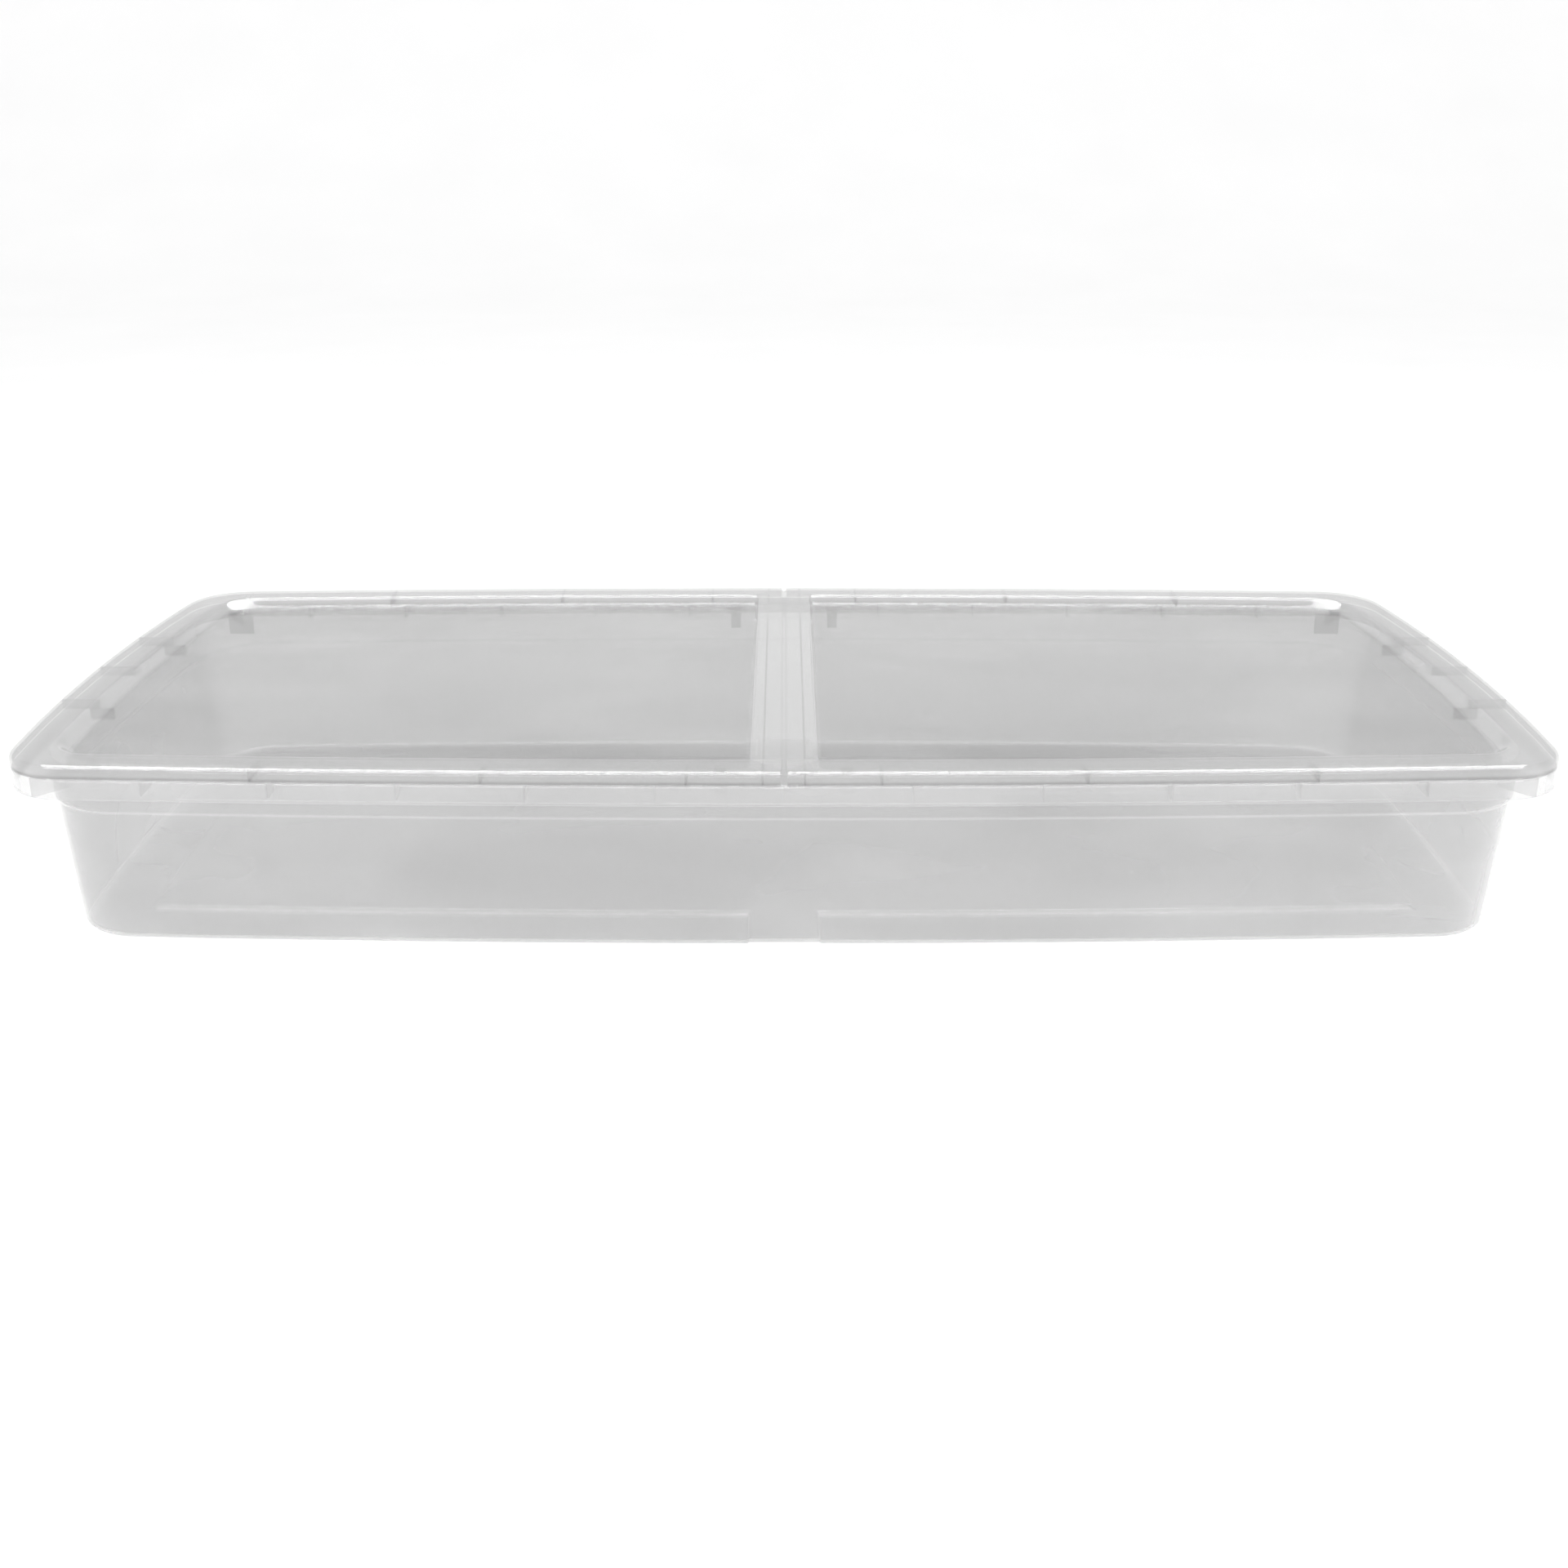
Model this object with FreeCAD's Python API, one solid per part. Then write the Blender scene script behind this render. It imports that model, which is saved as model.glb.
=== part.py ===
import FreeCAD, Part
import math
import os

# Clear under-bed storage box: a long shallow tray, and a lid that folds in two halves about a
# living hinge across its middle. Both are thin injection mouldings.
# Millimetres. The origin is on the floor under the middle of the box. +X runs along the length,
# +Y across the width towards the back, +Z up.

Vector = FreeCAD.Vector
UP = Vector(0, 0, 1)
MIRROR_X = Vector(1, 0, 0)
HALF_TURN = math.pi
FULL_TURN = 2 * math.pi

# Overall size
LENGTH = 1000.0
WIDTH = 460.0
HEIGHT = 130.0
WALL = 1.8
RIB = 1.2

# Rim outline, shared by the lid and by the rim band of the tray
RIM_LONG_BOW = 14.0
RIM_SHORT_BOW = 15.0
RIM_CORNER = 45.0

# Tray wall, whose plan is given at the flange
END_OVERHANG = 15.0
SIDE_OVERHANG = 21.0
WALL_LONG_BOW = 13.2
WALL_SHORT_BOW = 12.4
WALL_CORNER = 55.0
LEDGE_HEIGHT = 92.0
UPPER_DRAFT = 1.0
LEDGE_STEP = 1.6
LOWER_DRAFT = 6.0
BASE_RADIUS = 5.0

# Tray flange and rim band
FLANGE_TOP = 121.5
FLANGE_EDGE_RADIUS = 2.0
FLANGE_SEAM = 14.0
BAND_BOTTOM = 108.0
BAND_SETBACK = 0.5
BEAD_HEIGHT = 2.3
BAND_RIB_PITCH = 79.5
BAND_RIBS_EACH_WAY = 5
END_RIB_PLACES = (-120.0, -40.0, 40.0, 120.0)
CORNER_RIB_ANGLE = 60.0
CORNER_RIB_DROP = 1.0

# Tray floor: the foot runs round the edge in two halves, and a channel parts them front and back
FOOT_WIDTH = 38.0
FLOOR_RISE = 2.5
FLOOR_STEP_RUN = 3.0
CHANNEL_WIDTH = 50.0

# Lid
SEAT_GAP = 0.3
LID_EDGE_RADIUS = 4.5
PANEL_DEPTH = 7.0
PANEL_INSET = 25.0
PANEL_SIDE_RUN = 7.0
PANEL_END_RUN = 14.0
PANEL_STRIP_RUN = 3.5
PANEL_CORNER = 32.0
PANEL_TIGHT_CORNER = 6.0
STRIP_WIDTH = 41.0
STRIP_DROP = 0.5
STRIP_LENGTH = 408.0
STRIP_RIB_PLACE = 13.0
LID_RIB_PLACES = (60.0, 186.0, 328.0)
LID_END_RIB_PLACES = (-78.0, 0.0, 78.0)

# Lugs under the lid, which drop inside the tray and keep the lid in place
LUG_THICKNESS = 1.5
LUG_BOTTOM = 104.0
CORNER_LUG_SPAN = (438.0, 458.0)
CORNER_LUG_PLACE = 176.0
MIDDLE_LUG_SPAN = (36.0, 44.0)
MIDDLE_LUG_PLACE = 195.0
END_LUG_SPAN = (462.0, 478.5)
END_LUG_PLACES = (-78.0, 78.0)
END_LUG_BOTTOM = 114.0

# Living hinge. It turns about a line 0.2 mm above the lid, so that both halves can stand upright
HINGE_EDGE = 1.7
WEB_HALF_WIDTH = 0.8
WEB_BOTTOM = 129.0
WEB_TOP = 129.4
NOTCH_HALF_WIDTH = 2.2
NOTCH_SHOULDER = 225.0
NOTCH_POINT = 220.5

OVERLAP = 2.0
HALF_HEIGHT = HEIGHT / 2
FAR = 600.0


def bow_radius(half_chord, bow):
    """Radius of the arc that stands bow above a chord."""
    return (half_chord ** 2 + bow ** 2) / (2 * bow)


def arc_edge(centre_x, centre_y, z, radius, start, end):
    circle = Part.Circle(Vector(centre_x, centre_y, z), UP, radius)
    return Part.ArcOfCircle(circle, start, end).toShape()


class Plan:
    """A rectangle with bowed sides and round corners: eight arcs, each tangent to the next.

    An inset outline shares the centres of its arcs with the plan, so that it lies at one
    distance from the plan all the way round.
    """

    def __init__(self, half_length, half_width, long_bow, short_bow, corner_radius):
        self.long_radius = bow_radius(half_length, long_bow)
        self.short_radius = bow_radius(half_width, short_bow)
        self.long_centre = half_width - self.long_radius
        self.short_centre = half_length - self.short_radius
        self.corner_radius = corner_radius
        corner = self.corner_centre(0.0, 0.0, corner_radius)
        self.corner_x, self.corner_y = corner
        self.long_start = math.atan2(self.corner_y - self.long_centre, self.corner_x)
        self.short_end = math.atan2(self.corner_y, self.corner_x - self.short_centre)

    def corner_centre(self, long_inset, end_inset, radius):
        """Centre of a corner arc that is tangent to a long side and to an end, both inset."""
        reach_long = self.long_radius - long_inset - radius
        reach_short = self.short_radius - end_inset - radius
        apart = math.hypot(self.short_centre, self.long_centre)
        along = (reach_long ** 2 - reach_short ** 2 + apart ** 2) / (2 * apart)
        across = math.sqrt(reach_long ** 2 - along ** 2)
        unit_x = self.short_centre / apart
        unit_y = -self.long_centre / apart
        x = along * unit_x + across * unit_y
        y = self.long_centre + along * unit_y - across * unit_x
        return x, y

    def arcs(self):
        """The eight arcs, anticlockwise from the +X end: centre, radius, start and end angle."""
        a = self.short_end
        b = self.long_start
        x = self.corner_x
        y = self.corner_y
        r = self.corner_radius
        return [
            (self.short_centre, 0.0, self.short_radius, -a, a),
            (x, y, r, a, b),
            (0.0, self.long_centre, self.long_radius, b, HALF_TURN - b),
            (-x, y, r, HALF_TURN - b, HALF_TURN - a),
            (-self.short_centre, 0.0, self.short_radius, HALF_TURN - a, HALF_TURN + a),
            (-x, -y, r, HALF_TURN + a, HALF_TURN + b),
            (0.0, -self.long_centre, self.long_radius, HALF_TURN + b, FULL_TURN - b),
            (x, -y, r, FULL_TURN - b, FULL_TURN - a),
        ]

    def outline(self, inset, z):
        edges = []
        for x, y, radius, start, end in self.arcs():
            edges.append(arc_edge(x, y, z, radius - inset, start, end))
        return Part.Wire(edges)

    def slab(self, inset, bottom, top):
        return Part.Face(self.outline(inset, bottom)).extrude(UP * (top - bottom))

    def side_y(self, x, inset):
        """Distance of the inset long side from the middle line, at x."""
        return self.long_centre + math.sqrt((self.long_radius - inset) ** 2 - x ** 2)

    def end_x(self, y, inset):
        """Distance of the inset end from the middle line, at y."""
        return self.short_centre + math.sqrt((self.short_radius - inset) ** 2 - y ** 2)


RIM = Plan(LENGTH / 2, WIDTH / 2, RIM_LONG_BOW, RIM_SHORT_BOW, RIM_CORNER)
BOX = Plan(LENGTH / 2 - END_OVERHANG, WIDTH / 2 - SIDE_OVERHANG, WALL_LONG_BOW, WALL_SHORT_BOW, WALL_CORNER)


def section_face(section, place):
    """Face of a closed section. A step of one point is a straight run, and of two an arc."""
    edges = []
    last = place(*section[0][-1])
    for step in section[1:] + section[:1]:
        here = place(*step[-1])
        if len(step) == 2:
            edges.append(Part.Arc(last, place(*step[0]), here).toShape())
        else:
            edges.append(Part.LineSegment(last, here).toShape())
        last = here
    return Part.Face(Part.Wire(edges))


def ring(plan, section):
    """Solid with one section, in inset and height, all the way round a plan."""
    pieces = []
    for x, y, radius, start, end in plan.arcs():

        def place(inset, z):
            reach = radius - inset
            return Vector(x + reach * math.cos(start), y + reach * math.sin(start), z)

        face = section_face(section, place)
        pieces.append(face.revolve(Vector(x, y, 0), UP, math.degrees(end - start)))
    return pieces[0].multiFuse(pieces[1:])


def rounding(centre_inset, centre_z, radius, to_inset, to_z, outward, upward):
    """Step of a section: a quarter round through its middle point."""
    reach = radius * math.sqrt(0.5)
    middle = (centre_inset - outward * reach, centre_z + upward * reach)
    return middle, (to_inset, to_z)


def block(x_span, y_span, z_span):
    low = Vector(min(x_span), min(y_span), min(z_span))
    high = Vector(max(x_span), max(y_span), max(z_span))
    size = high - low
    return Part.makeBox(size.x, size.y, size.z, low)


def four_ways(shape):
    """A shape with its mirror images across the length and across the width."""
    origin = Vector(0, 0, 0)
    across = shape.mirror(origin, Vector(0, 1, 0))
    pair = [shape, across]
    return pair + [piece.mirror(origin, MIRROR_X) for piece in pair]


def two_ways(shape):
    return [shape, shape.mirror(Vector(0, 0, 0), MIRROR_X)]


# ---------------------------------------------------------------- tray

def tray_wall():
    """Wall with its ledge, its draft and the round turn into the foot."""
    ledge = UPPER_DRAFT
    below = ledge + LEDGE_STEP
    foot = below + LOWER_DRAFT
    turn = foot + BASE_RADIUS
    inner_radius = BASE_RADIUS - WALL
    joint = turn + OVERLAP
    section = [
        ((0.0, FLANGE_TOP),),
        ((ledge, LEDGE_HEIGHT),),
        ((below, LEDGE_HEIGHT - LEDGE_STEP),),
        ((foot, BASE_RADIUS),),
        rounding(turn, BASE_RADIUS, BASE_RADIUS, turn, 0.0, 1, -1),
        ((joint, 0.0),),
        ((joint, WALL),),
        ((turn, WALL),),
        rounding(turn, BASE_RADIUS, inner_radius, foot + WALL, BASE_RADIUS, 1, -1),
        ((below + WALL, LEDGE_HEIGHT - LEDGE_STEP + WALL / 2),),
        ((ledge + WALL, LEDGE_HEIGHT + WALL / 2),),
        ((WALL, FLANGE_TOP),),
    ]
    return ring(BOX, section), turn


def floor_panel(foot_inset, grow, bottom, top):
    """Raised middle of the floor with the channel, tapering towards its top."""
    run = FLOOR_STEP_RUN
    low = BOX.outline(foot_inset - grow, bottom)
    high = BOX.outline(foot_inset - grow + run, top)
    panel = Part.makeLoft([low, high], True, True)
    half_low = CHANNEL_WIDTH / 2 + grow
    half_high = half_low - run
    corners = [
        Vector(-half_low, -FAR, bottom),
        Vector(half_low, -FAR, bottom),
        Vector(half_high, -FAR, top),
        Vector(-half_high, -FAR, top),
    ]
    profile = Part.Face(Part.makePolygon(corners + corners[:1]))
    channel = profile.extrude(Vector(0, 2 * FAR, 0))
    return panel, channel


def tray_floor(turn):
    """Foot plate, the raised panel and its channel, and the space to cut away under them."""
    plate = BOX.slab(turn, 0.0, WALL)
    foot_inset = turn + FOOT_WIDTH
    panel, channel = floor_panel(foot_inset, WALL, WALL / 2, FLOOR_RISE + WALL)
    inside = BOX.slab(turn - BASE_RADIUS + WALL / 2, 0.0, HALF_HEIGHT)
    raised = panel.fuse(channel.common(inside))
    panel_under, channel_under = floor_panel(foot_inset, 0.0, 0.0, FLOOR_RISE)
    return plate.fuse(raised), panel_under.fuse(channel_under)


def tray_rim():
    """Flange with its rounded edge, and the band that hangs from it down to a small bead."""
    face = BAND_SETBACK
    back = face + WALL
    edge = FLANGE_TOP - FLANGE_EDGE_RADIUS
    bead_top = BAND_BOTTOM + BEAD_HEIGHT
    under = FLANGE_TOP - WALL
    round_inset = face + FLANGE_EDGE_RADIUS
    section = [
        rounding(round_inset, edge, FLANGE_EDGE_RADIUS, face, edge, 1, 1),
        ((face, bead_top),),
        ((0.0, bead_top - face),),
        ((0.0, BAND_BOTTOM + face),),
        ((face, BAND_BOTTOM),),
        ((back, BAND_BOTTOM),),
        ((back, under),),
        ((FLANGE_SEAM, under),),
        ((FLANGE_SEAM, FLANGE_TOP),),
        ((round_inset, FLANGE_TOP),),
    ]
    band = ring(RIM, section)
    flange = RIM.slab(FLANGE_SEAM - OVERLAP, under, FLANGE_TOP)
    opening = BOX.slab(WALL / 2, under - OVERLAP, FLANGE_TOP + OVERLAP)
    return band.fuse(flange.cut(opening))


def tray_ribs():
    """Upright ribs between the wall and the band, under the flange."""
    z_span = (BAND_BOTTOM + BEAD_HEIGHT, FLANGE_TOP - WALL / 2)
    outer_inset = BAND_SETBACK + WALL / 2
    ribs = []
    for step in range(-BAND_RIBS_EACH_WAY, BAND_RIBS_EACH_WAY + 1):
        x = step * BAND_RIB_PITCH
        x_span = (x - RIB / 2, x + RIB / 2)
        outer = RIM.side_y(x, outer_inset)
        inner = BOX.side_y(x, WALL / 2)
        ribs.append(block(x_span, (inner, outer), z_span))
        ribs.append(block(x_span, (-inner, -outer), z_span))
    for y in END_RIB_PLACES:
        y_span = (y - RIB / 2, y + RIB / 2)
        outer = RIM.end_x(y, outer_inset)
        inner = BOX.end_x(y, WALL / 2)
        ribs += two_ways(block((inner, outer), y_span, z_span))
    return ribs + four_ways(corner_rib(outer_inset))


def corner_rib(outer_inset):
    """Rib across the flange at a corner, which stands a little below the band."""
    angle = math.radians(CORNER_RIB_ANGLE)
    outer = RIM_CORNER - outer_inset
    start = Vector(RIM.corner_x + outer * math.cos(angle), RIM.corner_y + outer * math.sin(angle), 0)
    reach = WALL_CORNER - WALL / 2
    end = Vector(BOX.corner_x + reach * math.cos(angle), BOX.corner_y + reach * math.sin(angle), 0)
    length = (start - end).Length
    top = FLANGE_TOP - WALL / 2
    bottom = BAND_BOTTOM - CORNER_RIB_DROP
    rib = Part.makeBox(length, RIB, top - bottom, Vector(0, -RIB / 2, bottom))
    run = start - end
    rib.rotate(Vector(0, 0, 0), UP, math.degrees(math.atan2(run.y, run.x)))
    rib.translate(end)
    return rib


def make_tray():
    wall, turn = tray_wall()
    floor, under = tray_floor(turn)
    shell = wall.multiFuse([floor, tray_rim()] + tray_ribs())
    return shell.cut(under)


# ---------------------------------------------------------------- lid

def slope_shift(run):
    """Sideways shift of the underside of a sloping wall, which keeps its thickness even."""
    slope = math.atan2(PANEL_DEPTH, run)
    return WALL * math.tan(slope / 2)


def panel_outline(share, shift, z):
    """Outline of the sunken panel of the right half. share goes from 0 at its rim to 1 at its foot."""
    side_shift = shift * slope_shift(PANEL_SIDE_RUN)
    end_shift = shift * slope_shift(PANEL_END_RUN)
    strip_shift = shift * slope_shift(PANEL_STRIP_RUN)
    long_inset = PANEL_INSET + share * PANEL_SIDE_RUN - side_shift
    end_inset = PANEL_INSET + share * PANEL_END_RUN - end_shift
    near = STRIP_WIDTH / 2 + share * PANEL_STRIP_RUN - strip_shift
    corner = PANEL_CORNER - share * PANEL_SIDE_RUN + side_shift
    tight = PANEL_TIGHT_CORNER - share * PANEL_STRIP_RUN + strip_shift
    long_radius = RIM.long_radius - long_inset
    end_radius = RIM.short_radius - end_inset
    far_x, far_y = RIM.corner_centre(long_inset, end_inset, corner)
    near_x = near + tight
    near_y = RIM.long_centre + math.sqrt((long_radius - tight) ** 2 - near_x ** 2)
    a = math.atan2(far_y, far_x - RIM.short_centre)
    b = math.atan2(far_y - RIM.long_centre, far_x)
    c = math.atan2(near_y - RIM.long_centre, near_x)
    edges = [
        arc_edge(RIM.short_centre, 0.0, z, end_radius, -a, a),
        arc_edge(far_x, far_y, z, corner, a, b),
        arc_edge(0.0, RIM.long_centre, z, long_radius, b, c),
        arc_edge(near_x, near_y, z, tight, c, HALF_TURN),
        Part.LineSegment(Vector(near, near_y, z), Vector(near, -near_y, z)).toShape(),
        arc_edge(near_x, -near_y, z, tight, HALF_TURN, FULL_TURN - c),
        arc_edge(0.0, -RIM.long_centre, z, long_radius, FULL_TURN - c, FULL_TURN - b),
        arc_edge(far_x, -far_y, z, corner, FULL_TURN - b, FULL_TURN - a),
    ]
    return Part.Wire(edges)


def panel_recess():
    """Space above the sunken panel, carried on a little above the lid."""
    above = OVERLAP / PANEL_DEPTH
    foot = panel_outline(1.0, 0.0, HEIGHT - PANEL_DEPTH)
    mouth = panel_outline(-above, 0.0, HEIGHT + OVERLAP)
    return Part.makeLoft([foot, mouth], True, True)


def panel_body():
    """Solid under the recess, down to the underside of the panel."""
    low = panel_outline(1.0, 1.0, HEIGHT - PANEL_DEPTH - WALL)
    share = WALL / 2 / PANEL_DEPTH
    high = panel_outline(-share, 1.0, HEIGHT - WALL / 2)
    return Part.makeLoft([low, high], True, True)


def lid_shell():
    """Both halves as one: top with its rounded edge and skirt, and the two sunken panels."""
    skirt_bottom = FLANGE_TOP + SEAT_GAP
    edge = HEIGHT - LID_EDGE_RADIUS
    under = HEIGHT - WALL
    joint = LID_EDGE_RADIUS * 2
    inner_radius = LID_EDGE_RADIUS - WALL
    section = [
        ((0.0, skirt_bottom),),
        ((0.0, edge),),
        rounding(LID_EDGE_RADIUS, edge, LID_EDGE_RADIUS, LID_EDGE_RADIUS, HEIGHT, 1, 1),
        ((joint, HEIGHT),),
        ((joint, under),),
        ((LID_EDGE_RADIUS, under),),
        rounding(LID_EDGE_RADIUS, edge, inner_radius, WALL, edge, 1, 1),
        ((WALL, skirt_bottom),),
    ]
    shell = ring(RIM, section).fuse(RIM.slab(joint - OVERLAP, under, HEIGHT))
    shell = shell.multiFuse(two_ways(panel_body()))
    for recess in two_ways(panel_recess()):
        shell = shell.cut(recess)
    strip = block(
        (-STRIP_WIDTH / 2, STRIP_WIDTH / 2),
        (-STRIP_LENGTH / 2, STRIP_LENGTH / 2),
        (HEIGHT - STRIP_DROP, HEIGHT + OVERLAP),
    )
    return shell.cut(strip)


def lid_ribs():
    """Ribs under the rim of the right half, and the long one under the strip beside the hinge."""
    z_span = (FLANGE_TOP + SEAT_GAP, HEIGHT - WALL / 2)
    outer_inset = WALL / 2
    inner_inset = PANEL_INSET + PANEL_SIDE_RUN / 2
    ribs = []
    for x in LID_RIB_PLACES:
        outer = RIM.side_y(x, outer_inset)
        inner = RIM.side_y(x, inner_inset)
        x_span = (x - RIB / 2, x + RIB / 2)
        ribs.append(block(x_span, (inner, outer), z_span))
        ribs.append(block(x_span, (-inner, -outer), z_span))
    for y in LID_END_RIB_PLACES:
        outer = RIM.end_x(y, outer_inset)
        inner = RIM.end_x(y, inner_inset)
        ribs.append(block((inner, outer), (y - RIB / 2, y + RIB / 2), z_span))
    reach = RIM.side_y(STRIP_RIB_PLACE, outer_inset)
    strip_x = (STRIP_RIB_PLACE - RIB / 2, STRIP_RIB_PLACE + RIB / 2)
    strip_z = (FLANGE_TOP + SEAT_GAP, HEIGHT - STRIP_DROP - WALL / 2)
    ribs.append(block(strip_x, (-reach, reach), strip_z))
    return ribs


def lid_lugs():
    """Plates under the right half that drop inside the tray wall."""
    panel_middle = HEIGHT - PANEL_DEPTH - WALL / 2
    half = LUG_THICKNESS / 2
    lugs = []
    for side in (-1, 1):
        corner_y = side * CORNER_LUG_PLACE
        corner_span = (corner_y - half, corner_y + half)
        lugs.append(block(CORNER_LUG_SPAN, corner_span, (LUG_BOTTOM, panel_middle)))
        middle_y = side * MIDDLE_LUG_PLACE
        middle_span = (middle_y - half, middle_y + half)
        lugs.append(block(MIDDLE_LUG_SPAN, middle_span, (LUG_BOTTOM, panel_middle)))
    for y in END_LUG_PLACES:
        lugs.append(block(END_LUG_SPAN, (y - half, y + half), (END_LUG_BOTTOM, HEIGHT - PANEL_DEPTH)))
    return lugs


def hinge_notch():
    """Pointed notch in the front rim, in which the skirt ends on both sides of the hinge."""
    points = [
        Vector(-NOTCH_HALF_WIDTH, -FAR, 0),
        Vector(NOTCH_HALF_WIDTH, -FAR, 0),
        Vector(NOTCH_HALF_WIDTH, -NOTCH_SHOULDER, 0),
        Vector(0, -NOTCH_POINT, 0),
        Vector(-NOTCH_HALF_WIDTH, -NOTCH_SHOULDER, 0),
    ]
    face = Part.Face(Part.makePolygon(points + points[:1]))
    return face.extrude(UP * (HEIGHT + OVERLAP))


def make_lid_half():
    """Right half of the lid."""
    shell = lid_shell()
    side = block((HINGE_EDGE, FAR), (-FAR, FAR), (0, HEIGHT + OVERLAP))
    half = shell.common(side)
    half = half.multiFuse(lid_ribs() + lid_lugs()).cut(panel_recess())
    notch = hinge_notch()
    notches = notch.fuse(notch.mirror(Vector(0, 0, 0), Vector(0, 1, 0)))
    return half.cut(notches)


def make_hinge():
    """Thin web in the groove between the halves."""
    return block(
        (-WEB_HALF_WIDTH, WEB_HALF_WIDTH),
        (-NOTCH_POINT, NOTCH_POINT),
        (WEB_BOTTOM, WEB_TOP),
    )


def save(name, shape):
    """Checks that a node is one sound solid, and writes it."""
    clean = shape.removeSplitter()
    solids = clean.Solids
    print(name, "solids", len(solids), "valid", clean.isValid(), "volume", round(clean.Volume))
    assert len(solids) == 1
    solids[0].exportStep("parts/" + name + ".step")


os.makedirs("parts", exist_ok=True)
right_half = make_lid_half()
save("tray", make_tray())
save("lid_right", right_half)
save("lid_left", right_half.mirror(Vector(0, 0, 0), MIRROR_X))
save("living_hinge", make_hinge())
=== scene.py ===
import math

import bmesh
import bpy
from mathutils import Matrix, Vector


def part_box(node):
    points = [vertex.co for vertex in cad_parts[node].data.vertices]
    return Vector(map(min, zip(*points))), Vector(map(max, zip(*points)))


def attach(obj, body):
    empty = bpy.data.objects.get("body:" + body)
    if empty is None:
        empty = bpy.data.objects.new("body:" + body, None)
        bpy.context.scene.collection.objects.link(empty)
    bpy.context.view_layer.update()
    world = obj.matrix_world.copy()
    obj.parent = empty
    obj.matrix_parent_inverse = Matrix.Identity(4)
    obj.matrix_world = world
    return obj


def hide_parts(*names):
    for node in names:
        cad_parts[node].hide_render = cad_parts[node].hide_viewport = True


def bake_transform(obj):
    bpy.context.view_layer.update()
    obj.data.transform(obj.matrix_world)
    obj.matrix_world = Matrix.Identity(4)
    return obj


# Clear under-bed box. The tray and the two lid halves are closed thin shells built from rings
# that follow the bowed outline of the CAD parts, with the small roundings that catch the light.
# Shapes are worked out in millimetres and scaled when a mesh is made.

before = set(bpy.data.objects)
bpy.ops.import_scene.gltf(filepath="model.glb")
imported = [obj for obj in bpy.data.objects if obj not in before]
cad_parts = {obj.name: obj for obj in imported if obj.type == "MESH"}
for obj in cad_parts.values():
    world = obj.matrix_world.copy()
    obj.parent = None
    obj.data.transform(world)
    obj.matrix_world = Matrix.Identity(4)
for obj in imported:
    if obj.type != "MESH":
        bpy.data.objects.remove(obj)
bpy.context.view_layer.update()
MM = 0.001


def node_span(name):
    """Lowest and highest corner of a CAD node, in millimetres."""
    low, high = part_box(name)
    return Vector(low) / MM, Vector(high) / MM


TRAY_HIGH = node_span("tray")[1]
LID_LOW, LID_HIGH = node_span("lid_right")
WEB_LOW, WEB_HIGH = node_span("living_hinge")

# Overall size and the heights that the CAD parts give
HALF_LENGTH = LID_HIGH.x
HALF_WIDTH = LID_HIGH.y
HEIGHT = LID_HIGH.z
FLANGE_TOP = TRAY_HIGH.z
HINGE_EDGE = LID_LOW.x
LUG_BOTTOM = LID_LOW.z

WALL = 1.8
RIB = 1.2

# Ribs and lugs end inside the wall that they join, this deep below its outer or upper face
RIB_END_IN_RIM = WALL * 0.8
RIB_END_IN_WALL = WALL * 0.3
LUG_END_IN_PANEL = WALL * 0.7

# Rim outline, shared by the lid and the rim band
RIM_LONG_BOW = 14.0
RIM_SHORT_BOW = 15.0
RIM_CORNER = 45.0

# Tray
END_OVERHANG = 15.0
SIDE_OVERHANG = 21.0
WALL_LONG_BOW = 13.2
WALL_SHORT_BOW = 12.4
WALL_CORNER = 55.0
LEDGE_HEIGHT = 92.0
UPPER_DRAFT = 1.0
LEDGE_STEP = 1.6
LOWER_DRAFT = 6.0
BASE_RADIUS = 5.0
LOWER_WALL_HEIGHTS = (32.0, 62.0)
FLANGE_EDGE_RADIUS = 2.0
BAND_BOTTOM = 108.0
BAND_MIDDLE = 115.0
BAND_SETBACK = 0.5
BEAD_HEIGHT = 2.3
BAND_RIB_PITCH = 79.5
BAND_RIBS_EACH_WAY = 5
END_RIB_PLACES = (-120.0, -40.0, 40.0, 120.0)
CORNER_RIB_ANGLE = 60.0
CORNER_RIB_DROP = 1.0
FOOT_WIDTH = 38.0
FLOOR_RISE = 2.5
FLOOR_STEP_RUN = 3.0
CHANNEL_WIDTH = 50.0

# Lid
SEAT_GAP = 0.3
LID_EDGE_RADIUS = 4.5
PANEL_DEPTH = 7.0
PANEL_INSET = 25.0
PANEL_SIDE_RUN = 7.0
PANEL_END_RUN = 14.0
PANEL_STRIP_RUN = 3.5
PANEL_CORNER = 32.0
PANEL_TIGHT_CORNER = 6.0
PANEL_SAG = 0.5
STRIP_WIDTH = 41.0
STRIP_DROP = 0.5
STRIP_RIB_PLACE = 13.0
LID_RIB_PLACES = (60.0, 186.0, 328.0)
LID_END_RIB_PLACES = (-78.0, 0.0, 78.0)
LUG_THICKNESS = 1.5
CORNER_LUG_SPAN = (438.0, 458.0)
CORNER_LUG_PLACE = 176.0
MIDDLE_LUG_SPAN = (36.0, 44.0)
MIDDLE_LUG_PLACE = 195.0
END_LUG_SPAN = (462.0, 478.5)
END_LUG_PLACES = (-78.0, 78.0)
END_LUG_BOTTOM = 114.0
NOTCH_HALF_WIDTH = 2.2
NOTCH_SHOULDER = 225.0
# Along the hinge edge: where the notch's slanting side meets it, where the strip ends in the CAD,
# and how far from that end the nearest points are
NOTCH_SIDE = 223.98
STRIP_END = 204.0
STRIP_POINT_GAP = 0.6

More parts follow.
